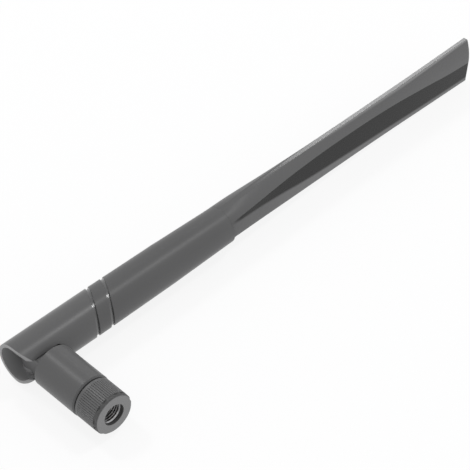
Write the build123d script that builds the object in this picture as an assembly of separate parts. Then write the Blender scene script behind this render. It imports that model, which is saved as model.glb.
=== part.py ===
from build123d import *
from math import cos, pi, radians, sin, sqrt, tan
import os

# Swivel antenna with a blade-shaped radome and a threaded coaxial connector.
# It is modelled folded to a right angle, lying on its side.
# Arm along +X from the hinge, hinge pin line along Z, connector along -Y.
# The origin is the centre of the coupling nut's mouth. Millimetres.

# Radome tube and hinge hood
TUBE_R = 6.25              # outer radius at the hinge
TUBE_NECK_R = 6.05         # outer radius at the neck, past the grooves
TUBE_NECK_X = 45.0         # hinge axis to the neck
TUBE_END_R = 5.58          # outer radius where the tube gives way to the blade
TUBE_END_X = 66.5          # hinge axis to the tube's end
TUBE_END_BEVEL = 0.5       # length of the steep slope at the tube's end
HOOD_WALL = 1.05
HOOD_END = 7.0             # hinge axis to the hood's open end
HOOD_DEPTH = 6.2           # hinge axis to the bottom of the hood's cavity
SLOT_HALF = 3.5            # half height of the slot that the tongue swings in
SLOT_END = 4.8             # hinge axis to the slot's closed end
SLOT_CORNER_R = 1.2
EAR_PAD_R = 3.7            # round pads inside the hood that carry the trunnions
GROOVE_X = (19.7, 24.8)    # the two ring grooves, measured on the axis
GROOVE_SLANT = 27.0        # degrees that the grooves lean back from square
GROOVE_W = 1.0
GROOVE_DEPTH = 0.42
RADOME_WALL = 1.1
CAVITY_EDGE = 0.28         # least half thickness of the hollow in the blade
SPIGOT_R = 4.55
SPIGOT_LENGTH = 10.0

# Blade: one row for each station along the arm
# distance from hinge, half width, edge half thickness, crease half thickness,
# crease height, flank half thickness, flank height
BLADE_STATIONS = (
    (60.0, 5.42, 0.90, 4.33, 3.30, 4.30, 2.60),
    (66.5, 5.54, 0.90, 4.42, 3.44, 4.45, 2.50),
    (76.0, 6.20, 0.85, 4.00, 3.85, 3.85, 1.60),
    (86.0, 6.80, 0.78, 3.26, 4.18, 3.10, 0.10),
    (98.0, 7.08, 0.66, 2.66, 4.42, 2.28, -2.00),
    (113.0, 7.25, 0.60, 2.28, 4.35, 1.70, -3.40),
    (130.0, 7.38, 0.57, 2.02, 3.62, 1.25, -4.70),
    (146.0, 7.62, 0.52, 1.80, 1.85, 0.95, -5.90),
    (157.0, 7.90, 0.50, 1.55, 0.25, 0.75, -6.55),
    (168.0, 8.25, 0.48, 1.25, -0.80, 0.60, -7.05),
)
BLADE_LENGTH = 165.2       # hinge axis to the tip
TIP_BOW = 0.15             # how far the middle of the tip stands proud of its corners
TIP_CORNER_R = 0.8
FLANK_FULLNESS = 0.74      # how full the round lower edge is; 0.71 is an ellipse
FACET_BULGE = 0.05         # outward bow of the facets, as a share of their length

# Swivel base
BASE_R = 6.2
BASE_END = 22.5            # hinge axis to the base's connector end
BASE_CHAMFER = 0.4
SHOULDER = 7.2             # hinge axis to the base's shoulder
TONGUE_HALF = 3.25
TONGUE_R = 3.8
TONGUE_CHAMFER = 0.3
TRUNNION_R = 1.5
TRUNNION_TOP = 4.9
TRUNNION_CLEAR = 0.06
CABLE_SLOT_HALF = 1.25
CABLE_BORE_R = 1.2

# Connector
NUT_R = 6.05
NUT_LENGTH = 8.5
NUT_GAP = 0.3
NUT_CHAMFER = 0.35
THREAD_R = 3.2             # major radius of the 1/4-36 thread, with its clearance
THREAD_LENGTH = 4.5
RELIEF_R = 3.4             # relief behind the thread, where the retaining ring sits
NUT_FLANGE = 1.2
HEX_LENGTH = 1.2
HEX_FLAT_HALF = 5.35
KNURL_COUNT = 60
KNURL_DEPTH = 0.16
KNURL_START = 1.1
BODY_NECK_R = 2.65
NECK_CLEAR = 0.08
REFERENCE_DEPTH = 4.6      # nut mouth to the connector's reference plane
BODY_FLANGE_R = 3.05
BODY_FLANGE = 1.3
RING_GROOVE_R = 2.2
RING_R = 3.05
RING_WIDTH = 0.5
RING_CLEAR = 0.1
GASKET_R = 3.1
GASKET_WIDTH = 0.5
BODY_FRONT_R = 2.55
BODY_PRESS_R = 3.6
BODY_PRESS_LENGTH = 4.0
BODY_STEM_R = 1.3
BODY_STEM_LENGTH = 4.0
INSULATOR_R = 2.05
CONTACT_R = 0.64
CONTACT_BORE_R = 0.47
CONTACT_BORE_DEPTH = 2.6
CONTACT_RECESS = 0.2
FERRULE_WALL = 0.4
FERRULE_LENGTH = 5.0
SHRINK_WALL = 0.3
SHRINK_LENGTH = 7.5
FIT = 0.05                 # clearance round each piece that is seated for good

# Coaxial cable
CABLE_R = 0.9
CORE_R = 0.25
CABLE_BEND_R = 5.0
BUSHING_R = 2.6
BUSHING_LENGTH = 8.0

# Antenna board
BOARD_START = 42.0
BOARD_END = 150.0
BOARD_HALF_WIDTH = 3.6
BOARD_THICK = 0.6
BOARD_CUT_START = 105.0    # past here the board narrows with the blade
BOARD_TIP_HALF = 3.0
NOTCH_DEPTH = 3.5
COPPER = 0.1
TRACE_HALF = 0.8
LOWER_TRACE = (47.0, 70.0)
PHASE_TRACE = (70.4, 96.0)
UPPER_TRACE = (96.4, 147.0)
PHASE_TURNS = 5
PHASE_LINE = 0.7
GROUND_TRACE = (43.5, 66.0)
GROUND_ARM_Z = 2.3
SOLDER_R = 0.75
PAD_LENGTH = 6.0
PAD_LOWER_X = 56.0
PAD_UPPER_X = 128.0
PAD_CLEAR = 0.3

MOUTH = BASE_END + NUT_GAP + NUT_LENGTH
HOOD_INNER_R = TUBE_R - HOOD_WALL
TO_ORIGIN = Location((0, MOUTH, 0))

ALONG_ARM = Plane(origin=(0, 0, 0), x_dir=(0, 1, 0), z_dir=(1, 0, 0))
ALONG_BASE = Plane(origin=(0, 0, 0), x_dir=(1, 0, 0), z_dir=(0, -1, 0))


def arm_rod(radius, start, end):
    """Round bar on the arm's axis, between two distances from the hinge."""
    plane = ALONG_ARM.offset(start)
    return extrude(plane * Circle(radius), end - start)


def base_rod(radius, start, end):
    """Round bar on the base's axis, between two distances from the hinge."""
    plane = ALONG_BASE.offset(start)
    return extrude(plane * Circle(radius), end - start)


def hinge_disc(radius, low, high):
    """Round bar on the hinge axis, between two heights."""
    return extrude(Plane.XY.offset(low) * Circle(radius), high - low)


def block(x, y, z):
    """Box between two limits along each axis."""
    size = (x[1] - x[0], y[1] - y[0], z[1] - z[0])
    centre = ((x[0] + x[1]) / 2, (y[0] + y[1]) / 2, (z[0] + z[1]) / 2)
    return Pos(*centre) * Box(*size)


def slanted_plane(x):
    """Plane of a ring groove: square to Z and leaning back from the arm's axis."""
    lean = radians(GROOVE_SLANT)
    return Plane(origin=(x, 0, 0), x_dir=(0, 0, 1), z_dir=(cos(lean), -sin(lean), 0))


def tube_skin():
    """Outer form of hood and tube, turned about the arm's axis."""
    profile = Polyline(
        (-HOOD_END, 0),
        (-HOOD_END, TUBE_R),
        (GROOVE_X[0], TUBE_R),
        (TUBE_NECK_X, TUBE_NECK_R),
        (TUBE_END_X, TUBE_END_R),
        (TUBE_END_X + TUBE_END_BEVEL, TUBE_END_R - 2 * TUBE_END_BEVEL),
        (TUBE_END_X + TUBE_END_BEVEL, 0),
        (-HOOD_END, 0),
    )
    return revolve(make_face(profile), Axis.X)


def ring_groove(x):
    """Cutter for one slanted groove, of even depth round the tube."""
    slab = extrude(slanted_plane(x) * Rectangle(4 * TUBE_R, 4 * TUBE_R), GROOVE_W / 2, both=True)
    core = arm_rod(TUBE_R - GROOVE_DEPTH, x - 2 * TUBE_R, x + 2 * TUBE_R)
    return slab - core


def behind_seam(x):
    """Half space on the hinge's side of a slanted plane."""
    reach = 3 * TUBE_END_X
    return extrude(slanted_plane(x) * Rectangle(reach, reach), -reach)


def blade_section(station):
    """Closed face of the blade's outer form at one station."""
    x, half_width, edge, crease, crease_z, flank, flank_z = station
    top = half_width
    upper = sqrt((crease - edge) ** 2 + (top - crease_z) ** 2)
    lean = ((top - crease_z) / upper, (crease - edge) / upper)
    bulge = FACET_BULGE * upper
    if x <= TUBE_END_X:
        radius = sqrt(edge ** 2 + top ** 2)
        bulge = radius - sqrt(radius ** 2 - (upper / 2) ** 2)
    mid = ((edge + crease) / 2 + lean[0] * bulge, (top + crease_z) / 2 + lean[1] * bulge)
    depth = half_width + flank_z
    low = flank_z - depth
    dip = (flank * FLANK_FULLNESS, flank_z - depth * FLANK_FULLNESS)
    outline = Line((-edge, top), (edge, top))
    outline += ThreePointArc((edge, top), mid, (crease, crease_z))
    outline += Line((crease, crease_z), (flank, flank_z))
    outline += Spline(
        (flank, flank_z), dip, (0, low), (-dip[0], dip[1]), (-flank, flank_z),
        tangents=((0, -1), (0, 1)),
    )
    outline += Line((-flank, flank_z), (-crease, crease_z))
    outline += ThreePointArc((-crease, crease_z), (-mid[0], mid[1]), (-edge, top))
    return ALONG_ARM.offset(x) * make_face(outline)


def blade_skin():
    """Outer form of the blade, lofted from the tube's end and cut to its bowed tip."""
    solid = loft([blade_section(s) for s in BLADE_STATIONS])
    half = BLADE_STATIONS[-1][1]
    corner_x = BLADE_LENGTH - TIP_BOW
    outline = Polyline((corner_x, half), (TUBE_END_X, half), (TUBE_END_X, -half), (corner_x, -half))
    outline += ThreePointArc((corner_x, -half), (BLADE_LENGTH, 0), (corner_x, half))
    face = make_face(outline)
    face = fillet(face.vertices().group_by(Axis.X)[-1], TIP_CORNER_R)
    return solid & extrude(Plane.XZ * face, TUBE_R, both=True)


def cavity_section(x, station):
    """Closed face of the blade's hollow: the outer form's corners pulled in by the wall."""
    half_width, edge, crease, crease_z, flank, flank_z = station[1:]
    top = half_width - RADOME_WALL
    depth = top + flank_z
    edge = max(edge - RADOME_WALL, CAVITY_EDGE)
    crease -= RADOME_WALL
    flank = max(flank - RADOME_WALL, CAVITY_EDGE)
    dip, dip_z = flank * FLANK_FULLNESS, flank_z - depth * FLANK_FULLNESS
    right = ((edge, top), (crease, crease_z), (flank, flank_z), (dip, dip_z))
    left = tuple((-y, z) for y, z in reversed(right))
    corners = right + ((0, flank_z - depth),) + left
    return ALONG_ARM.offset(x) * make_face(Polyline(*corners, corners[0]))


def radome_cavity():
    """Space inside the radome: a bore that flattens into a slot along the blade."""
    last_bore = TUBE_END_X - RADOME_WALL
    bore = arm_rod(SPIGOT_R + FIT, GROOVE_X[0] - TUBE_R, last_bore)
    inner = [cavity_section(last_bore, BLADE_STATIONS[1])]
    inner += [cavity_section(s[0], s) for s in BLADE_STATIONS[2:-1]]
    return bore + loft(inner)


def make_radome_blade():
    body = tube_skin() + blade_skin()
    body -= behind_seam(GROOVE_X[0])
    for x in GROOVE_X:
        body -= ring_groove(x)
    return body - radome_cavity()


def ear_limit():
    """Cutter that rounds the hood's ears about the hinge on the open side."""
    reach = 2 * TUBE_R
    corner = block((-2 * HOOD_END, 0), (-reach, 0), (-reach, reach))
    return corner - hinge_disc(HOOD_END, -reach, reach)


def make_hinge_yoke():
    body = tube_skin() & behind_seam(GROOVE_X[0])
    body -= ring_groove(GROOVE_X[0])
    body += arm_rod(SPIGOT_R, HOOD_DEPTH, GROOVE_X[0] + SPIGOT_LENGTH)
    body -= arm_rod(HOOD_INNER_R, -2 * HOOD_END, HOOD_DEPTH)
    pads = hinge_disc(EAR_PAD_R, -TUBE_R, TUBE_R) - hinge_disc(EAR_PAD_R, -SLOT_HALF, SLOT_HALF)
    body += pads & arm_rod(TUBE_R - HOOD_WALL / 2, -HOOD_END, HOOD_DEPTH)
    slot = block((-2 * HOOD_END, SLOT_END), (-2 * TUBE_R, 0), (-SLOT_HALF, SLOT_HALF))
    slot = fillet(slot.edges().filter_by(Axis.Y).group_by(Axis.X)[-1], SLOT_CORNER_R)
    body -= slot
    body -= ear_limit()
    body -= hinge_disc(TRUNNION_R + TRUNNION_CLEAR, -TRUNNION_TOP - FIT, TRUNNION_TOP + FIT)
    body -= arm_rod(CABLE_BORE_R, 0, 2 * GROOVE_X[1])
    seat_start = GROOVE_X[0] + SPIGOT_LENGTH - BUSHING_LENGTH
    body -= arm_rod(BUSHING_R + FIT, seat_start, 2 * GROOVE_X[1])
    return body


def make_knuckle_base():
    body = base_rod(BASE_R, SHOULDER, BASE_END)
    body = chamfer(body.edges().group_by(Axis.Y)[0], BASE_CHAMFER)
    tongue = hinge_disc(TONGUE_R, -TONGUE_HALF, TONGUE_HALF)
    tongue = chamfer(tongue.edges().filter_by(GeomType.CIRCLE), TONGUE_CHAMFER)
    neck = block((-TONGUE_R, TONGUE_R), (-SHOULDER - 1, 0), (-TONGUE_HALF, TONGUE_HALF))
    neck = chamfer(neck.edges().filter_by(Axis.Y), TONGUE_CHAMFER)
    body += tongue + neck
    body += hinge_disc(TRUNNION_R, -TRUNNION_TOP, TRUNNION_TOP)
    reach = 2 * TONGUE_R
    sweep_room = block(
        (-CABLE_BORE_R, reach), (-CABLE_BORE_R, reach), (-CABLE_SLOT_HALF, CABLE_SLOT_HALF)
    )
    corner_room = block(
        (-CABLE_BORE_R, reach), (-CABLE_BEND_R, reach), (-CABLE_SLOT_HALF, CABLE_SLOT_HALF)
    )
    body -= sweep_room + corner_room
    body -= base_rod(CABLE_BORE_R, 0, BASE_END)
    press_start = BASE_END - BODY_PRESS_LENGTH
    body -= base_rod(BODY_PRESS_R + FIT, press_start - FIT, BASE_END)
    shrink_r = BODY_STEM_R + FERRULE_WALL + SHRINK_WALL + 3 * FIT
    body -= base_rod(shrink_r, press_start - SHRINK_LENGTH - FIT, BASE_END)
    return body


def knurl_cutter():
    """Straight V grooves round the nut's grip."""
    start = BASE_END + NUT_GAP + KNURL_START
    end = MOUTH - HEX_LENGTH
    half = pi * NUT_R / KNURL_COUNT * 0.62
    tooth = ALONG_BASE.offset(start) * make_face(
        Polyline(
            (0, NUT_R - KNURL_DEPTH),
            (half, NUT_R + 0.2),
            (-half, NUT_R + 0.2),
            (0, NUT_R - KNURL_DEPTH),
        )
    )
    one = extrude(tooth, end - start)
    return [one.rotate(Axis.Y, 360 / KNURL_COUNT * i) for i in range(KNURL_COUNT)]


def make_coupling_nut():
    start = BASE_END + NUT_GAP
    body = base_rod(NUT_R, start, MOUTH)
    body = chamfer(body.edges().filter_by(GeomType.CIRCLE), NUT_CHAMFER)
    hex_plane = ALONG_BASE.offset(MOUTH - HEX_LENGTH)
    hexagon = hex_plane * RegularPolygon(HEX_FLAT_HALF, 6, major_radius=False)
    ring = extrude(hex_plane * Circle(2 * NUT_R), HEX_LENGTH)
    body -= ring - extrude(hexagon, HEX_LENGTH)
    body -= knurl_cutter()
    body -= base_rod(RELIEF_R, start + NUT_FLANGE, MOUTH - THREAD_LENGTH)
    body -= base_rod(THREAD_R, start + NUT_FLANGE, MOUTH)
    return body - base_rod(BODY_NECK_R + NECK_CLEAR, start, MOUTH)


def ring_position():
    return BASE_END + NUT_GAP + NUT_FLANGE + RING_CLEAR


def make_retaining_ring():
    start = ring_position()
    ring = base_rod(RING_R, start, start + RING_WIDTH)
    ring -= base_rod(RING_GROOVE_R + FIT, start, start + RING_WIDTH)
    gap = block((0, 2 * RING_R), (-MOUTH, 0), (-RING_GROOVE_R / 2, RING_GROOVE_R / 2))
    return ring - gap


def make_connector_body():
    press_start = BASE_END - BODY_PRESS_LENGTH
    face = MOUTH - REFERENCE_DEPTH
    body = base_rod(BODY_PRESS_R, press_start, BASE_END)
    body += base_rod(BODY_NECK_R, press_start, face - BODY_FLANGE)
    body += base_rod(BODY_FLANGE_R, face - GASKET_WIDTH - BODY_FLANGE, face - GASKET_WIDTH)
    body += base_rod(BODY_FRONT_R, face - BODY_FLANGE, face)
    body += base_rod(BODY_STEM_R, press_start - BODY_STEM_LENGTH, press_start)
    start = ring_position()
    groove = base_rod(2 * RING_R, start - FIT, start + RING_WIDTH + FIT)
    body -= groove - base_rod(RING_GROOVE_R, start - FIT, start + RING_WIDTH + FIT)
    body -= base_rod(INSULATOR_R + FIT, press_start + 1, MOUTH)
    return body - base_rod(CABLE_R + FIT, 0, BASE_END)


def make_sealing_gasket():
    face = MOUTH - REFERENCE_DEPTH
    ring = base_rod(GASKET_R, face - GASKET_WIDTH, face)
    return ring - base_rod(BODY_FRONT_R + FIT, face - GASKET_WIDTH, face)


def insulator_start():
    return BASE_END - BODY_PRESS_LENGTH + 1 + FIT


def make_connector_insulator():
    face = MOUTH - REFERENCE_DEPTH
    body = base_rod(INSULATOR_R, insulator_start(), face)
    return body - base_rod(CONTACT_R + FIT, insulator_start(), face)


def make_centre_contact():
    face = MOUTH - REFERENCE_DEPTH - CONTACT_RECESS
    pin = base_rod(CONTACT_R, insulator_start(), face)
    pin -= base_rod(CONTACT_BORE_R, face - CONTACT_BORE_DEPTH, face)
    return pin - block((-CONTACT_R, CONTACT_R), (-face, -face + 1.6), (-0.08, 0.08))


def make_crimp_ferrule():
    end = BASE_END - BODY_PRESS_LENGTH - FIT
    outer = BODY_STEM_R + FIT + FERRULE_WALL
    ring = base_rod(outer, end - FERRULE_LENGTH, end)
    return ring - base_rod(BODY_STEM_R + FIT, end - FERRULE_LENGTH, end)


def make_heat_shrink():
    end = BASE_END - BODY_PRESS_LENGTH - 2 * FIT
    inner = BODY_STEM_R + FERRULE_WALL + 2 * FIT
    sleeve = base_rod(inner + SHRINK_WALL - FIT, end - SHRINK_LENGTH + 1, end)
    return sleeve - base_rod(inner, end - SHRINK_LENGTH + 1, end)


def make_coax_base():
    """Straight cable from the connector to the start of the hinge bend."""
    jacket = base_rod(CABLE_R, CABLE_BEND_R, insulator_start() - 0.6)
    return jacket + base_rod(CORE_R, CABLE_BEND_R, insulator_start() - FIT)


def make_coax_bend():
    """Quarter turn of the cable through the hinge."""
    path = ThreePointArc(
        (0, -CABLE_BEND_R, 0),
        (CABLE_BEND_R * (1 - cos(pi / 4)), -CABLE_BEND_R * (1 - sin(pi / 4)), 0),
        (CABLE_BEND_R, 0, 0),
    )
    start = Plane(origin=(0, -CABLE_BEND_R, 0), z_dir=(0, 1, 0))
    return sweep(start * Circle(CABLE_R), path)


def make_coax_arm():
    """Straight cable from the hinge to the board's notch, with its core bared."""
    notch = BOARD_START + NOTCH_DEPTH
    jacket = arm_rod(CABLE_R, CABLE_BEND_R, notch - 1)
    lift = BOARD_THICK / 2 + COPPER + CORE_R + FIT
    path = Polyline((notch - 1.2, 0, 0), (notch - 0.7, 0, 0), (notch, -lift, 0), (notch + 3, -lift, 0))
    start = Plane(origin=(notch - 1.2, 0, 0), z_dir=(1, 0, 0))
    core = sweep(start * Circle(CORE_R), path, transition=Transition.RIGHT)
    return jacket + core


def make_cable_bushing():
    end = GROOVE_X[0] + SPIGOT_LENGTH
    ring = arm_rod(BUSHING_R, end - BUSHING_LENGTH + FIT, end)
    return ring - arm_rod(CABLE_R + FIT, 0, 2 * end)


def make_antenna_board():
    half = BOARD_HALF_WIDTH
    outline = Polyline(
        (BOARD_START, -half),
        (BOARD_CUT_START, -half),
        (BOARD_END, -BOARD_TIP_HALF),
        (BOARD_END, BOARD_TIP_HALF),
        (BOARD_CUT_START, half),
        (BOARD_START, half),
        (BOARD_START, -half),
    )
    board = extrude(make_face(Plane.XZ * outline), BOARD_THICK / 2, both=True)
    room = CABLE_R + FIT
    return board - block((0, BOARD_START + NOTCH_DEPTH), (-BOARD_THICK, BOARD_THICK), (-room, room))


def front_copper(x, z):
    """Flat copper on the board's front face."""
    face = -BOARD_THICK / 2
    return block(x, (face - COPPER, face), z)


def make_lower_element():
    return front_copper(LOWER_TRACE, (-TRACE_HALF, TRACE_HALF))


def make_phasing_line():
    """Meander of thin copper between the two radiators."""
    step = (PHASE_TRACE[1] - PHASE_TRACE[0]) / (2 * PHASE_TURNS)
    line = None
    side = 1
    for i in range(2 * PHASE_TURNS):
        x = PHASE_TRACE[0] + i * step
        rise = front_copper((x, x + PHASE_LINE), (-2 * TRACE_HALF, 2 * TRACE_HALF))
        z = side * 2 * TRACE_HALF
        run = front_copper((x, x + step + PHASE_LINE), sorted((z, z - side * PHASE_LINE)))
        line = rise + run if line is None else line + rise + run
        side = -side
    return line - front_copper((PHASE_TRACE[1], UPPER_TRACE[1]), (-TUBE_R, TUBE_R))


def make_upper_element():
    return front_copper(UPPER_TRACE, (-TRACE_HALF, TRACE_HALF))


def make_ground_element():
    """Two arms on the board's back face that serve as the lower sleeve."""
    face = BOARD_THICK / 2
    low, high = GROUND_ARM_Z - TRACE_HALF / 2, GROUND_ARM_Z + TRACE_HALF
    bridge = block((GROUND_TRACE[1] - 3, GROUND_TRACE[1]), (face, face + COPPER), (-high, high))
    for side in (-1, 1):
        arm = block(GROUND_TRACE, (face, face + COPPER), sorted((side * low, side * high)))
        bridge += arm
    return bridge


def make_solder_joint():
    """Domed blob that holds the cable's core on the feed trace."""
    x = BOARD_START + NOTCH_DEPTH + 2.2
    face = -BOARD_THICK / 2 - COPPER
    blob = Pos(x, face, 0) * Sphere(SOLDER_R)
    blob -= block((x - 2, x + 2), (face, face + 2), (-2, 2))
    return blob - make_coax_arm()


def make_foam_pad(x):
    """Foam ring that steadies the board inside the radome."""
    slice_box = block((x, x + PAD_LENGTH), (-TUBE_R, TUBE_R), (-2 * TUBE_R, 2 * TUBE_R))
    shrink = 1 - PAD_CLEAR / TUBE_R
    pad = scale(radome_cavity() & slice_box, (1, shrink, shrink))
    gap = BOARD_THICK / 2 + COPPER + FIT
    width = BOARD_HALF_WIDTH + FIT
    return pad - block((x - 1, x + PAD_LENGTH + 1), (-gap, gap), (-width, width))


PARTS = {
    "radome_blade": make_radome_blade,
    "hinge_yoke": make_hinge_yoke,
    "knuckle_base": make_knuckle_base,
    "coupling_nut": make_coupling_nut,
    "retaining_ring": make_retaining_ring,
    "connector_body": make_connector_body,
    "sealing_gasket": make_sealing_gasket,
    "connector_insulator": make_connector_insulator,
    "centre_contact": make_centre_contact,
    "crimp_ferrule": make_crimp_ferrule,
    "heat_shrink": make_heat_shrink,
    "coax_base": make_coax_base,
    "coax_bend": make_coax_bend,
    "coax_arm": make_coax_arm,
    "cable_bushing": make_cable_bushing,
    "antenna_board": make_antenna_board,
    "lower_element": make_lower_element,
    "phasing_line": make_phasing_line,
    "upper_element": make_upper_element,
    "ground_element": make_ground_element,
    "solder_joint": make_solder_joint,
    "foam_pad_lower": lambda: make_foam_pad(PAD_LOWER_X),
    "foam_pad_upper": lambda: make_foam_pad(PAD_UPPER_X),
}


def main():
    os.makedirs("parts", exist_ok=True)
    for name, make in PARTS.items():
        shape = TO_ORIGIN * make()
        export_step(shape, f"parts/{name}.step")
        print(name, round(shape.volume, 2))


main()
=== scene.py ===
import math

import bpy
from mathutils import Matrix, Vector


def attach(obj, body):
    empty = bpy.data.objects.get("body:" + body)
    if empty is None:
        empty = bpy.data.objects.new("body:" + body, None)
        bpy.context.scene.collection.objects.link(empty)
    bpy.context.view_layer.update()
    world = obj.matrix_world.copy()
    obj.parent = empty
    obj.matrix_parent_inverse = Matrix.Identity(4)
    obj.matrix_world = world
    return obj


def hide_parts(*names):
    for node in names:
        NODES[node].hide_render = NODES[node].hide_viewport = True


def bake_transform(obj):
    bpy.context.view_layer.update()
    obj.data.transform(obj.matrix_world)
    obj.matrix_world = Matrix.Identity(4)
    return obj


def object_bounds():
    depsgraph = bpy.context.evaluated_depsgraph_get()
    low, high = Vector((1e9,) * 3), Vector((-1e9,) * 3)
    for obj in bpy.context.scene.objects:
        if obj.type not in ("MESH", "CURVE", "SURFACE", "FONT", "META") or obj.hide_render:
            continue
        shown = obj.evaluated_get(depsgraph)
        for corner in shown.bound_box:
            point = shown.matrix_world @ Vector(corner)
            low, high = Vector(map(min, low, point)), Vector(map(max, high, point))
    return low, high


# Swivel antenna, folded to a right angle and lying on its side.
# Metres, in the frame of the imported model: arm along +X, connector along -Y.

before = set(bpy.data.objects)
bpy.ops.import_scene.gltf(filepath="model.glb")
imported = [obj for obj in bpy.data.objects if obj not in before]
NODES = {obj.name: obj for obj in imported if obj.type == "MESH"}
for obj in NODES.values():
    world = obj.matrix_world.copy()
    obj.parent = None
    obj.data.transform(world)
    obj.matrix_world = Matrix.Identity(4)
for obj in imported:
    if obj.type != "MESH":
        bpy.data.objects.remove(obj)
CAD_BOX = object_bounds()

MM = 0.001
PIVOT_Y = 31.3 * MM            # hinge axis, measured from the nut's mouth

# Camera: place, axes, lens and sensor in millimetres, nearest distance seen
CAMERA_AT = (-0.23177, -0.31120, 0.43905)
CAMERA_RIGHT = (0.72664, -0.68622, -0.03302)
CAMERA_UP = (0.49701, 0.49189, 0.71486)
CAMERA_BACK = (-0.47431, -0.53586, 0.69848)
CAMERA_LENS = 176.2
CAMERA_SENSOR = 36.0
CAMERA_NEAR = 0.01

# Sky
SKY_HORIZON = 0.95
SKY_ZENITH = 0.55

# Lamps: place, width and height, watts
LAMP_AIM = (0.06, 0.03, 0.0)
LAMPS = {
    "key": ((0.457, -0.154, 0.777), (0.13, 0.13), 1.6),
    "rim": ((0.62, 0.50, 0.61), (0.26, 0.05), 0.19),
    "side": ((-0.045, 0.50, 0.76), (0.14, 0.14), 1.5),
}

# Floor
FLOOR_SIZE = 6.0
FLOOR_GREYS = (0.93, 0.95)
FLOOR_ROUGH = 0.9
FLOOR_GLOW = 0.85              # share of plain white light in the floor

# Thread of the nut, 1/4-36
THREAD_PITCH = 25.4 / 36 * MM
THREAD_ROOT_R = 3.22 * MM
THREAD_CREST_R = 2.84 * MM
THREAD_ROOT_HALF = 0.44 * THREAD_PITCH
THREAD_CREST_HALF = 0.09 * THREAD_PITCH
THREAD_START = 0.55 * MM       # depth of the smooth lead-in
THREAD_END = 4.4 * MM
THREAD_STEPS = 72              # steps in one turn
FADE_STEPS = THREAD_STEPS / 4  # the thread rises and runs out over a quarter turn

# Front ring of the nut: radius and depth of its section, cut by the flats
FRONT_FLATS = 6
FRONT_FLAT = 5.66 * MM         # axis to a flat
FRONT_STEPS = 180
FRONT_PROFILE = (
    (3.22 * MM, -0.015 * MM),
    (5.68 * MM, -0.015 * MM),
    (5.99 * MM, 0.30 * MM),
    (6.02 * MM, 1.19 * MM),
    (4.60 * MM, 1.19 * MM),
)

# Cable through the hinge
CABLE_BEND_R = 5.0 * MM
CABLE_R = 0.9 * MM
CABLE_RING = 24                # corners round the cable
CABLE_STEPS = 24               # steps along the bend

# Foam pads
FOAM_GRID = 0.22 * MM
FOAM_SOFTENING = 0.5
FOAM_PASSES = 2
FOAM_GREYS = (0.10, 0.28)

# Greys of the plastic. Its clouding runs between two shares of the plain one
PLASTIC = 0.114
MOULDED_SHARES = (0.95, 1.05)
TUBE_SHARES = (0.90, 1.00)
# painted light: the blade's greys lie above the tube's
BLADE_PAINTED_LIGHT_SHARES = (1.08, 1.18)
# painted shade: the polished facet's grey, near black
FACET_PAINTED_SHADE = 0.007
# painted light: the paler grey of the flank under the facet
FLANK_PAINTED_LIGHT = 0.17
GROOVE_GREY = 0.11
# painted highlight: the pale grey of the hood's rim
RIM_PAINTED_HIGHLIGHT = 0.27
# painted light: the pale grey of the hood's shaded inner wall
HOLLOW_PAINTED_LIGHT = 0.24
COOL = 1.01                    # blue of every grey, against its red and green

# Roughness of the plastic, between the two ends of its grain
BASE_ROUGH = (0.30, 0.38)
TUBE_ROUGH = (0.31, 0.38)
HOOD_ROUGH = (0.27, 0.35)
BLADE_ROUGHER = 0.10
FACET_SMOOTHER = 0.16

# Shine of the plastic
PLASTIC_SPECULAR = 0.15
HOOD_SPECULAR = 0.26
GROOVE_POLISH = 0.4
POLISH_ROUGH = 0.2
POLISH_IOR = 2.0

# Clouding of the plastic: shares of its clouds, and of flow lines drawn out along X
CLOUD_SHARE = 0.6
FLOW_SHARE = 0.4

# Finish of the nut: its knurl, the band with the flats with painted shade, the front face with painted
# light, and the thread with painted light
NUT_GREYS = (0.105, 0.135)
# painted shade: the dark grey of the band with the flats
NUT_BAND_PAINTED_SHADE = 0.075
# painted light: the pale grey of the nut's front face
NUT_FACE_PAINTED_LIGHT = 0.205
NUT_BAND_FADE = (1.25 * MM, 1.15 * MM)
NUT_FACE_FADE = (0.12 * MM, 0.02 * MM)
NUT_ROUGH = (0.42, 0.52)
# painted light: the thread's greys, spread by uneven wear, lie far above the nut's
THREAD_PAINTED_LIGHT_GREYS = (0.16, 0.46)

# Board
LAMINATE_DARK = (0.06, 0.22, 0.10)
LAMINATE_LIGHT = (0.10, 0.32, 0.16)
WEAVE_SCALE = 900.0

NOISE_MIDDLE = (0.3, 0.7)      # most of a noise lies between these
BEVEL_SAMPLES = 6

# Distances from the hinge over which the blade's rougher finish and its painted paler grey take the
# place of the tube's
BLADE_BEGINS = (60.0 * MM, 90.0 * MM)

# Hood: hinge axis to its rim, depth of the rim with its painted highlight, radius that holds the inner
# wall with its painted light
HOOD_END = 7.0 * MM
RIM_DEPTH = 0.12 * MM
INNER_WALL_R = 5.7 * MM

# Ring grooves, with their bottoms polished
GROOVE_FADE = (5.98 * MM, 5.88 * MM)
GROOVE_SLOPE = math.tan(math.radians(27.0))
GROOVE_MIDDLE = 22.25 * MM     # on the axis, midway between the two grooves
GROOVE_REACH = 4.0 * MM

# Polished lower facet of the blade, with painted shade making it near black: distance from the hinge,
# crease height, lower edge height
FACET_LINES = (
    (66.5, 3.44, 2.50),
    (76.0, 3.85, 1.60),
    (86.0, 4.18, 0.10),
    (98.0, 4.42, -2.00),
    (113.0, 4.35, -3.40),
    (130.0, 3.62, -4.60),
    (146.0, 1.85, -5.60),
    (157.0, 0.25, -6.15),
    (168.0, -0.80, -6.60),
)
FACET_SPAN = 10.0              # heights of the facet lines lie within this of the axis, in mm
CREASE_FADE = (-0.05 * MM, 0.08 * MM)
FACET_EDGE_FADE = (-0.5 * MM, 0.6 * MM)
FACET_BEGINS = (66.0 * MM, 70.0 * MM)
FACET_ENDS = (165.05 * MM, 164.95 * MM)

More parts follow.
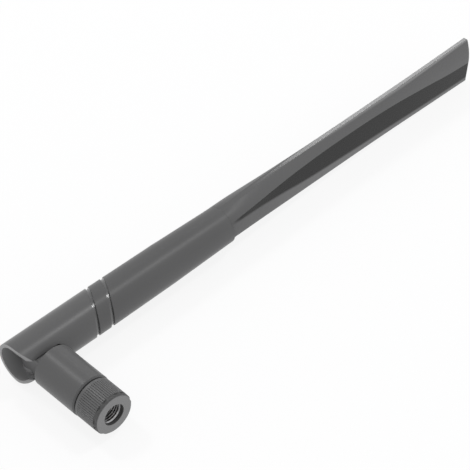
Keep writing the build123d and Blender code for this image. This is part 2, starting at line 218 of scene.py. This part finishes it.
# Flank under the facet, painted paler as light
FLANK_FADE = (0.1 * MM, -0.5 * MM)
FLANK_BEGINS = (80.0 * MM, 110.0 * MM)

# Polished strip on the blade's upper edge: it widens from the tube on, and thins to the tip
STRIP_BEGINS = (76.0 * MM, 94.0 * MM)
STRIP_WIDENS = (80.0 * MM, 112.0 * MM)
STRIP_HALF = (0.25 * MM, 0.9 * MM)
STRIP_THINS = (120.0 * MM, 165.0 * MM)
STRIP_BOTTOM = (5.9 * MM, 7.6 * MM)
STRIP_FADE = 0.15 * MM


class Look:
    """A node material with one principled shader."""

    def __init__(self, name, roughness=0.5, metallic=0.0, specular=0.5):
        self.material = bpy.data.materials.new(name)
        self.material.use_nodes = True
        self.nodes = self.material.node_tree.nodes
        self.links = self.material.node_tree.links
        self.shader = self.nodes["Principled BSDF"]
        self.shader.inputs["Roughness"].default_value = roughness
        self.shader.inputs["Metallic"].default_value = metallic
        self.shader.inputs["Specular IOR Level"].default_value = specular
        self.place = self.nodes.new("ShaderNodeTexCoord").outputs["Object"]

    def plug(self, value, socket):
        """Links an output, or sets a plain value."""
        if isinstance(value, bpy.types.NodeSocket):
            self.links.new(value, socket)
        else:
            socket.default_value = value

    def math(self, operation, *values):
        node = self.nodes.new("ShaderNodeMath")
        node.operation = operation
        for value, socket in zip(values, node.inputs):
            self.plug(value, socket)
        return node.outputs[0]

    def overlap(self, *masks):
        """Mask where all the masks overlap."""
        product = masks[0]
        for mask in masks[1:]:
            product = self.math("MULTIPLY", product, mask)
        return product

    def radius(self, a, b):
        """Distance from an axis, of a point that lies a and b off it."""
        squares = self.math("ADD", self.math("POWER", a, 2.0), self.math("POWER", b, 2.0))
        return self.math("SQRT", squares)

    def noise(self, scale, detail=2.0, roughness=0.5, place=None):
        node = self.nodes.new("ShaderNodeTexNoise")
        node.inputs["Scale"].default_value = scale
        node.inputs["Detail"].default_value = detail
        node.inputs["Roughness"].default_value = roughness
        self.plug(place or self.place, node.inputs["Vector"])
        return node.outputs["Fac"]

    def stretch(self, x, y, z):
        """Coordinates scaled unevenly, for brushed or drawn surfaces."""
        node = self.nodes.new("ShaderNodeMapping")
        node.inputs["Scale"].default_value = (x, y, z)
        self.plug(self.place, node.inputs["Vector"])
        return node.outputs["Vector"]

    def ramp(self, value, low, high, out_low=0.0, out_high=1.0, smooth=False):
        node = self.nodes.new("ShaderNodeMapRange")
        node.interpolation_type = "SMOOTHSTEP" if smooth else "LINEAR"
        for number, socket in zip((value, low, high, out_low, out_high), node.inputs):
            self.plug(number, socket)
        return node.outputs["Result"]

    def vary(self, noise, low, high):
        """A noise spread over a range."""
        return self.ramp(noise, *NOISE_MIDDLE, low, high)

    def curve(self, value, points):
        """Smooth curve through points, each from 0 to 1."""
        node = self.nodes.new("ShaderNodeFloatCurve")
        line = node.mapping.curves[0].points
        line[0].location = points[0]
        line[1].location = points[-1]
        for point in points[1:-1]:
            line.new(*point)
        node.mapping.update()
        self.plug(value, node.inputs["Value"])
        return node.outputs["Value"]

    def mix(self, factor, dark, light):
        """Colour between two, by a factor from 0 to 1."""
        node = self.nodes.new("ShaderNodeMix")
        node.data_type = "RGBA"
        self.plug(factor, node.inputs["Factor"])
        for value, name in ((dark, "A"), (light, "B")):
            socket = [s for s in node.inputs if s.name == name and s.type == "RGBA"][0]
            self.plug(value, socket)
        return [s for s in node.outputs if s.type == "RGBA"][0]

    def between(self, factor, greys):
        """Grey between a dark and a light one, by a factor from 0 to 1."""
        return self.mix(factor, grey(greys[0]), grey(greys[1]))

    def split(self):
        """The three object coordinates."""
        parts = self.nodes.new("ShaderNodeSeparateXYZ")
        self.plug(self.place, parts.inputs[0])
        return parts.outputs["X"], parts.outputs["Y"], parts.outputs["Z"]

    def from_hinge(self):
        """Distance along the arm from the hinge, and both distances from the arm's axis."""
        x, y, z = self.split()
        return x, self.math("SUBTRACT", y, PIVOT_Y), z

    def colour(self, value):
        self.plug(value, self.shader.inputs["Base Color"])

    def roughness(self, value):
        self.plug(value, self.shader.inputs["Roughness"])

    def gloss(self, weight):
        """Polish over the parts where the weight is 1."""
        self.plug(weight, self.shader.inputs["Coat Weight"])
        self.shader.inputs["Coat Roughness"].default_value = POLISH_ROUGH
        self.shader.inputs["Coat IOR"].default_value = POLISH_IOR

    def bump(self, height, distance, strength, bevel=0.0):
        """Raises the surface by a height, over edges that read as rounded by a radius."""
        node = self.nodes.new("ShaderNodeBump")
        node.inputs["Strength"].default_value = strength
        node.inputs["Distance"].default_value = distance
        self.plug(height, node.inputs["Height"])
        if bevel:
            edge = self.nodes.new("ShaderNodeBevel")
            edge.samples = BEVEL_SAMPLES
            edge.inputs["Radius"].default_value = bevel
            self.plug(edge.outputs["Normal"], node.inputs["Normal"])
        self.plug(node.outputs["Normal"], self.shader.inputs["Normal"])


def rgb(red, green, blue):
    return (red, green, blue, 1.0)


def grey(value):
    return (value, value, value * COOL, 1.0)


def moulded(look, smooth, rough):
    """Grain and softened edges of moulded plastic. Gives its clouding and its roughness."""
    cloud = look.noise(scale=55.0, detail=3.0)
    grain = look.noise(scale=4200.0, detail=3.0, roughness=0.6)
    flow = look.noise(scale=1.0, place=look.stretch(20.0, 90.0, 90.0))
    cloud = look.math("MULTIPLY", cloud, CLOUD_SHARE)
    flow = look.math("MULTIPLY", flow, FLOW_SHARE)
    look.bump(grain, distance=0.012 * MM, strength=0.2, bevel=0.15 * MM)
    return look.math("ADD", cloud, flow), look.vary(grain, smooth, rough)


def plastic(look, cloud, shares):
    """The plastic's grey, clouded between two shares of the plain one."""
    return look.between(cloud, [PLASTIC * share for share in shares])


def facet_masks(look):
    """Masks of the polished facet below the crease, painted near black as shade, and of the flank under
    it, painted paler as light.
    """
    x, _, z = look.split()
    start, end = FACET_LINES[0][0], FACET_LINES[-1][0]
    along = look.ramp(x, start * MM, end * MM)

    def line(column):
        """Height of one of the facet lines, all along the blade."""
        points = [
            ((row[0] - start) / (end - start), 0.5 + row[column] / (2 * FACET_SPAN))
            for row in FACET_LINES
        ]
        return look.ramp(look.curve(along, points), 0.0, 1.0, -FACET_SPAN * MM, FACET_SPAN * MM)

    below_crease = look.math("SUBTRACT", line(1), z)
    above_edge = look.math("SUBTRACT", z, line(2))
    facet = look.overlap(
        look.ramp(below_crease, *CREASE_FADE, smooth=True),
        look.ramp(above_edge, *FACET_EDGE_FADE, smooth=True),
        look.ramp(x, *FACET_BEGINS),
        look.ramp(x, *FACET_ENDS),
    )
    flank = look.overlap(
        look.ramp(above_edge, *FLANK_FADE, smooth=True),
        look.ramp(x, *FLANK_BEGINS),
    )
    return facet, flank


def strip_mask(look):
    """1 on the polished strip of the blade's upper edge, 0 elsewhere."""
    x, across, z = look.from_hinge()
    half = look.ramp(x, *STRIP_WIDENS, *STRIP_HALF)
    bottom = look.ramp(x, *STRIP_THINS, *STRIP_BOTTOM)
    past_side = look.math("SUBTRACT", look.math("ABSOLUTE", across), half)
    above_bottom = look.math("SUBTRACT", z, bottom)
    return look.overlap(
        look.ramp(past_side, STRIP_FADE, -STRIP_FADE),
        look.ramp(above_bottom, -STRIP_FADE, STRIP_FADE),
        look.ramp(x, *STRIP_BEGINS),
    )


def groove_mask(look):
    """1 at the bottom of the two slanted ring grooves, 0 elsewhere."""
    x, across, z = look.from_hinge()
    deep = look.ramp(look.radius(across, z), *GROOVE_FADE)
    slant = look.math("SUBTRACT", x, look.math("MULTIPLY", across, GROOVE_SLOPE))
    near = look.math("COMPARE", slant, GROOVE_MIDDLE, GROOVE_REACH)
    return look.overlap(deep, near)


def rim_mask(look):
    """1 on the rim round the hood's open end, 0 elsewhere."""
    x, across, _ = look.from_hinge()
    round_end = look.ramp(look.radius(across, x), HOOD_END - RIM_DEPTH, HOOD_END)
    open_side = look.math("LESS_THAN", across, 0.0)
    open_end = look.math("LESS_THAN", x, 0.0)
    square_end = look.ramp(x, RIM_DEPTH - HOOD_END, -HOOD_END)
    return look.math("MAXIMUM", square_end, look.overlap(round_end, open_side, open_end))


def hollow_mask(look):
    """1 on the hood's inner wall, 0 elsewhere."""
    x, across, z = look.from_hinge()
    near_axis = look.math("LESS_THAN", look.radius(across, z), INNER_WALL_R)
    return look.overlap(near_axis, look.math("LESS_THAN", x, HOOD_END))


def radome_look():
    """Matte tube and blade, with polished lower facets, upper edge and grooves. Painted shade darkens
    the facets; painted light makes the blade paler than the tube, and the flank under the facets paler
    still.
    """
    look = Look("radome_plastic", specular=PLASTIC_SPECULAR)
    cloud, rough = moulded(look, *TUBE_ROUGH)
    facet, flank = facet_masks(look)
    groove = groove_mask(look)
    x, _, _ = look.split()
    on_blade = look.ramp(x, *BLADE_BEGINS)
    # painted light: the blade paler than the tube
    shade = look.mix(on_blade, plastic(look, cloud, TUBE_SHARES), plastic(look, cloud, BLADE_PAINTED_LIGHT_SHARES))
    # painted light: the flank under the facet made paler
    shade = look.mix(flank, shade, grey(FLANK_PAINTED_LIGHT))
    shade = look.mix(groove, shade, grey(GROOVE_GREY))
    # painted shade: the polished facet made near black
    look.colour(look.mix(facet, shade, grey(FACET_PAINTED_SHADE)))
    rough = look.math("ADD", rough, look.math("MULTIPLY", on_blade, BLADE_ROUGHER))
    look.roughness(look.math("SUBTRACT", rough, look.math("MULTIPLY", facet, FACET_SMOOTHER)))
    polish = look.math("MULTIPLY", groove, GROOVE_POLISH)
    look.gloss(look.math("MAXIMUM", polish, strip_mask(look)))
    return look.material


def base_look():
    """Swivel base, moulded in the same plastic as the tube."""
    look = Look("base_plastic", specular=PLASTIC_SPECULAR)
    cloud, rough = moulded(look, *BASE_ROUGH)
    look.colour(plastic(look, cloud, MOULDED_SHARES))
    look.roughness(rough)
    return look.material


def hood_look():
    """Hood with a painted highlight on its rim and painted light on its inner wall at the open end, and
    a polished groove.
    """
    look = Look("hood_plastic", specular=HOOD_SPECULAR)
    cloud, rough = moulded(look, *HOOD_ROUGH)
    groove = groove_mask(look)
    shade = plastic(look, cloud, MOULDED_SHARES)
    # painted highlight on the hood's rim
    shade = look.mix(rim_mask(look), shade, grey(RIM_PAINTED_HIGHLIGHT))
    # painted light on the hood's inner wall, against its shade
    shade = look.mix(hollow_mask(look), shade, grey(HOLLOW_PAINTED_LIGHT))
    look.colour(look.mix(groove, shade, grey(GROOVE_GREY)))
    look.roughness(rough)
    look.gloss(look.math("MULTIPLY", groove, GROOVE_POLISH))
    return look.material


def nut_look():
    """Black plated nut: turned satin, with painted shade darkening the band with the flats and painted
    light paling its face.
    """
    look = Look("plated_nut", metallic=0.1, specular=0.3)
    turned = look.noise(scale=1.0, roughness=0.6, place=look.stretch(200.0, 5200.0, 200.0))
    _, depth, _ = look.split()
    shade = look.between(look.noise(scale=300.0, detail=3.0), NUT_GREYS)
    # painted shade on the band with the flats
    shade = look.mix(look.ramp(depth, *NUT_BAND_FADE), shade, grey(NUT_BAND_PAINTED_SHADE))
    # painted light on the nut's front face
    look.colour(look.mix(look.ramp(depth, *NUT_FACE_FADE), shade, grey(NUT_FACE_PAINTED_LIGHT)))
    look.roughness(look.vary(turned, *NUT_ROUGH))
    look.bump(turned, distance=0.006 * MM, strength=0.3, bevel=0.08 * MM)
    return look.material


def thread_look():
    """Cut thread, unevenly polished, and painted brighter than the nut as light in the bore."""
    look = Look("cut_thread", roughness=0.26, metallic=0.9)
    worn = look.noise(scale=500.0, detail=3.0)
    # painted light: the thread made brighter than the nut
    look.colour(look.between(look.ramp(worn, 0.35, 0.65), THREAD_PAINTED_LIGHT_GREYS))
    return look.material


def metal_look(name, light, dark, rough):
    """Turned or stamped metal with fine tool lines."""
    look = Look(name, metallic=1.0)
    cloud = look.noise(scale=400.0, detail=3.0)
    lines = look.noise(scale=1.0, detail=3.0, roughness=0.6, place=look.stretch(300.0, 6000.0, 300.0))
    look.colour(look.mix(cloud, dark, light))
    look.roughness(look.vary(lines, rough - 0.06, rough + 0.08))
    look.bump(lines, distance=0.004 * MM, strength=0.4, bevel=0.05 * MM)
    return look.material


def rubber_look(name, light, dark, rough):
    """Soft sleeve, gasket or jacket with a slight mottle."""
    look = Look(name, specular=0.4)
    mottle = look.noise(scale=900.0, detail=4.0)
    look.colour(look.mix(mottle, dark, light))
    look.roughness(look.vary(mottle, rough - 0.07, rough + 0.07))
    look.bump(mottle, distance=0.02 * MM, strength=0.4, bevel=0.06 * MM)
    return look.material


def laminate_look():
    """Glass laminate under green solder resist, with its weave showing faintly."""
    look = Look("board_laminate", roughness=0.35)
    strands = []
    for direction in ("X", "Z"):
        wave = look.nodes.new("ShaderNodeTexWave")
        wave.bands_direction = direction
        wave.inputs["Scale"].default_value = WEAVE_SCALE
        look.plug(look.place, wave.inputs["Vector"])
        strands.append(wave.outputs["Fac"])
    weave = look.overlap(*strands)
    look.colour(look.mix(weave, rgb(*LAMINATE_DARK), rgb(*LAMINATE_LIGHT)))
    look.bump(weave, distance=0.01 * MM, strength=0.3, bevel=0.05 * MM)
    return look.material


def foam_look():
    """Open foam: fine cells, dull."""
    look = Look("open_foam", roughness=0.95, specular=0.2)
    cells = look.nodes.new("ShaderNodeTexVoronoi")
    cells.inputs["Scale"].default_value = 2600.0
    look.plug(look.place, cells.inputs["Vector"])
    look.colour(look.between(cells.outputs["Distance"], FOAM_GREYS))
    look.bump(cells.outputs["Distance"], distance=0.08 * MM, strength=0.8)
    return look.material


def dress_nodes():
    """Gives every CAD node its material."""
    gold = metal_look("gold_plate", rgb(0.83, 0.62, 0.28), rgb(0.74, 0.53, 0.22), rough=0.28)
    nickel = metal_look("nickel_plate", grey(0.66), grey(0.56), rough=0.34)
    spring = metal_look("spring_steel", grey(0.55), grey(0.45), rough=0.32)
    copper = metal_look("copper_foil", rgb(0.78, 0.42, 0.26), rgb(0.66, 0.33, 0.20), rough=0.36)
    solder = metal_look("solder", grey(0.72), grey(0.62), rough=0.22)
    sleeve = rubber_look("black_sleeve", grey(0.05), grey(0.035), rough=0.45)
    jacket = rubber_look("cable_jacket", rgb(0.33, 0.16, 0.09), rgb(0.27, 0.13, 0.07), rough=0.38)
    silicone = rubber_look("silicone", rgb(0.5, 0.1, 0.07), rgb(0.42, 0.08, 0.05), rough=0.5)
    insulator = rubber_look("white_plastic", grey(0.86), grey(0.80), rough=0.4)
    looks = {
        "radome_blade": radome_look(),
        "hinge_yoke": hood_look(),
        "knuckle_base": base_look(),
        "coupling_nut": nut_look(),
        "retaining_ring": spring,
        "connector_body": gold,
        "sealing_gasket": silicone,
        "connector_insulator": insulator,
        "centre_contact": gold,
        "crimp_ferrule": nickel,
        "heat_shrink": sleeve,
        "coax_base": jacket,
        "coax_bend": jacket,
        "coax_arm": jacket,
        "cable_bushing": sleeve,
        "antenna_board": laminate_look(),
        "lower_element": copper,
        "phasing_line": copper,
        "upper_element": copper,
        "ground_element": copper,
        "solder_joint": solder,
        "foam_pad_lower": foam_look(),
        "foam_pad_upper": foam_look(),
    }
    for name, material in looks.items():
        data = NODES[name].data
        data.materials.clear()
        data.materials.append(material)
    return looks


def new_piece(name, vertices, faces, material):
    """A mesh object from plain lists, smooth shaded."""
    mesh = bpy.data.meshes.new(name)
    mesh.from_pydata(vertices, [], faces)
    mesh.validate()
    mesh.update()
    mesh.shade_smooth()
    mesh.materials.append(material)
    piece = bpy.data.objects.new(name, mesh)
    bpy.context.scene.collection.objects.link(piece)
    return piece


def grid_faces(rows, columns, ring=False):
    """Quads of a grid of vertices. Each row closes on itself, and in a ring the last meets the first."""
    faces = []
    for i in range(rows if ring else rows - 1):
        here = i * columns
        there = (i + 1) % rows * columns
        for j in range(columns):
            k = (j + 1) % columns
            faces.append((here + j, here + k, there + k, there + j))
    return faces


def round_connector(radius, angle, depth):
    """Point round the connector's axis, at a depth behind the nut's mouth."""
    return (radius * math.cos(angle), depth, radius * math.sin(angle))


def make_thread(material):
    """Right-handed internal thread that stands in from the nut's bore."""
    turns = (THREAD_END - THREAD_START - THREAD_PITCH) / THREAD_PITCH
    steps = round(turns * THREAD_STEPS)
    start = THREAD_START + THREAD_PITCH / 2
    profile = (
        (THREAD_ROOT_R, -THREAD_ROOT_HALF),
        (THREAD_CREST_R, -THREAD_CREST_HALF),
        (THREAD_CREST_R, THREAD_CREST_HALF),
        (THREAD_ROOT_R, THREAD_ROOT_HALF),
    )
    vertices = []
    for i in range(steps + 1):
        angle = 2 * math.pi * i / THREAD_STEPS
        middle = start + THREAD_PITCH * i / THREAD_STEPS
        rise = min(1.0, i / FADE_STEPS, (steps - i) / FADE_STEPS)
        for radius, offset in profile:
            radius = THREAD_ROOT_R + (radius - THREAD_ROOT_R) * rise
            vertices.append(round_connector(radius, angle, middle + offset))
    corners = len(profile)
    faces = grid_faces(steps + 1, corners)
    faces.append(tuple(range(corners)))
    faces.append(tuple(steps * corners + i for i in reversed(range(corners))))
    piece = new_piece("nut_thread", vertices, faces, material)
    piece.data.shade_flat()
    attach(piece, "nut")


def make_nut_front(material):
    """The nut's front ring: a round face, a turned chamfer and six shallow flats."""
    apart = 2 * math.pi / FRONT_FLATS
    vertices = []
    for i in range(FRONT_STEPS):
        angle = 2 * math.pi * i / FRONT_STEPS
        from_corner = (angle - apart / 2) % apart
        from_corner = min(from_corner, apart - from_corner)
        flat = FRONT_FLAT / math.cos(apart / 2 - from_corner)
        for radius, depth in FRONT_PROFILE:
            vertices.append(round_connector(min(radius, flat), angle, depth))
    faces = grid_faces(FRONT_STEPS, len(FRONT_PROFILE), ring=True)
    piece = new_piece("nut_front", vertices, faces, material)
    piece.data.shade_flat()
    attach(piece, "nut")


def make_cable_bend(material):
    """The cable's quarter turn through the hinge, a fixed bend in the place of the CAD cable bend."""
    vertices = []
    for i in range(CABLE_STEPS + 1):
        turn = math.pi / 2 * i / CABLE_STEPS
        centre = Vector((
            CABLE_BEND_R * (1 - math.cos(turn)),
            PIVOT_Y - CABLE_BEND_R * (1 - math.sin(turn)),
            0.0,
        ))
        out = Vector((-math.cos(turn), math.sin(turn), 0.0))
        for j in range(CABLE_RING):
            angle = 2 * math.pi * j / CABLE_RING
            offset = out * math.cos(angle) + Vector((0, 0, 1)) * math.sin(angle)
            vertices.append(tuple(centre + offset * CABLE_R))
    faces = grid_faces(CABLE_STEPS + 1, CABLE_RING)
    faces.append(tuple(reversed(range(CABLE_RING))))
    faces.append(tuple(CABLE_STEPS * CABLE_RING + i for i in range(CABLE_RING)))
    piece = new_piece("cable_in_hinge", vertices, faces, material)
    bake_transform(piece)
    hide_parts("coax_bend")


def make_foam(node, material):
    """Foam pad with softened corners, in the place of its CAD solid."""
    piece = bpy.data.objects.new(node + "_soft", NODES[node].data.copy())
    bpy.context.scene.collection.objects.link(piece)
    remesh = piece.modifiers.new("even", "REMESH")
    remesh.mode = "VOXEL"
    remesh.voxel_size = FOAM_GRID
    smooth = piece.modifiers.new("soften", "SMOOTH")
    smooth.factor = FOAM_SOFTENING
    smooth.iterations = FOAM_PASSES
    graph = bpy.context.evaluated_depsgraph_get()
    soft = bpy.data.meshes.new_from_object(piece.evaluated_get(graph))
    piece.modifiers.clear()
    piece.data = soft
    soft.materials.clear()
    soft.materials.append(material)
    soft.shade_smooth()
    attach(piece, "arm")
    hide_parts(node)


def make_floor():
    """Pale floor that keeps a faint shadow, glows white and lights the object from below."""
    size = FLOOR_SIZE / 2
    low = CAD_BOX[0][2]
    corners = [(-size, -size, low), (size, -size, low), (size, size, low), (-size, size, low)]
    look = Look("floor", roughness=FLOOR_ROUGH, specular=0.0)
    look.colour(look.between(look.noise(scale=3.0), FLOOR_GREYS))
    glow = look.nodes.new("ShaderNodeEmission")
    blend = look.nodes.new("ShaderNodeMixShader")
    look.plug(FLOOR_GLOW, blend.inputs[0])
    look.plug(look.shader.outputs[0], blend.inputs[1])
    look.plug(glow.outputs[0], blend.inputs[2])
    look.plug(blend.outputs[0], look.nodes["Material Output"].inputs["Surface"])
    floor = new_piece("floor", corners, [(0, 1, 2, 3)], look.material)


def make_world():
    """Pale sky, white at the horizon and dimmer overhead."""
    world = bpy.data.worlds.new("studio")
    world.use_nodes = True
    bpy.context.scene.world = world
    nodes, links = world.node_tree.nodes, world.node_tree.links
    place = nodes.new("ShaderNodeTexCoord")
    parts = nodes.new("ShaderNodeSeparateXYZ")
    links.new(place.outputs["Generated"], parts.inputs[0])
    height = nodes.new("ShaderNodeMapRange")
    height.inputs["To Min"].default_value = SKY_HORIZON
    height.inputs["To Max"].default_value = SKY_ZENITH
    links.new(parts.outputs["Z"], height.inputs["Value"])
    links.new(height.outputs["Result"], nodes["Background"].inputs["Strength"])
    nodes["Background"].inputs["Color"].default_value = rgb(1.0, 1.0, 1.0)


def make_lamp(name, place, size, power):
    """Oblong soft lamp that points at the object."""
    data = bpy.data.lights.new(name, "AREA")
    data.shape = "RECTANGLE"
    data.size, data.size_y = size
    data.energy = power
    lamp = bpy.data.objects.new(name, data)
    away = Vector(place) - Vector(LAMP_AIM)
    lamp.location = place
    lamp.rotation_euler = away.to_track_quat("Z", "Y").to_euler()
    bpy.context.scene.collection.objects.link(lamp)


def make_camera():
    """Camera of the front view, with a long lens."""
    data = bpy.data.cameras.new("camera")
    data.lens = CAMERA_LENS
    data.sensor_width = CAMERA_SENSOR
    data.clip_start = CAMERA_NEAR
    camera = bpy.data.objects.new("camera", data)
    axes = Matrix((CAMERA_RIGHT, CAMERA_UP, CAMERA_BACK)).transposed()
    camera.matrix_world = Matrix.Translation(CAMERA_AT) @ axes.to_4x4()
    bpy.context.scene.collection.objects.link(camera)
    bpy.context.scene.camera = camera


make_camera()
make_world()
for lamp_name, (lamp_place, lamp_size, lamp_power) in LAMPS.items():
    make_lamp(lamp_name, lamp_place, lamp_size, lamp_power)
make_floor()
looks = dress_nodes()
make_thread(thread_look())
make_nut_front(looks["coupling_nut"])
make_cable_bend(looks["coax_bend"])
for pad in ("foam_pad_lower", "foam_pad_upper"):
    make_foam(pad, looks[pad])
bpy.context.scene.view_settings.view_transform = "Standard"
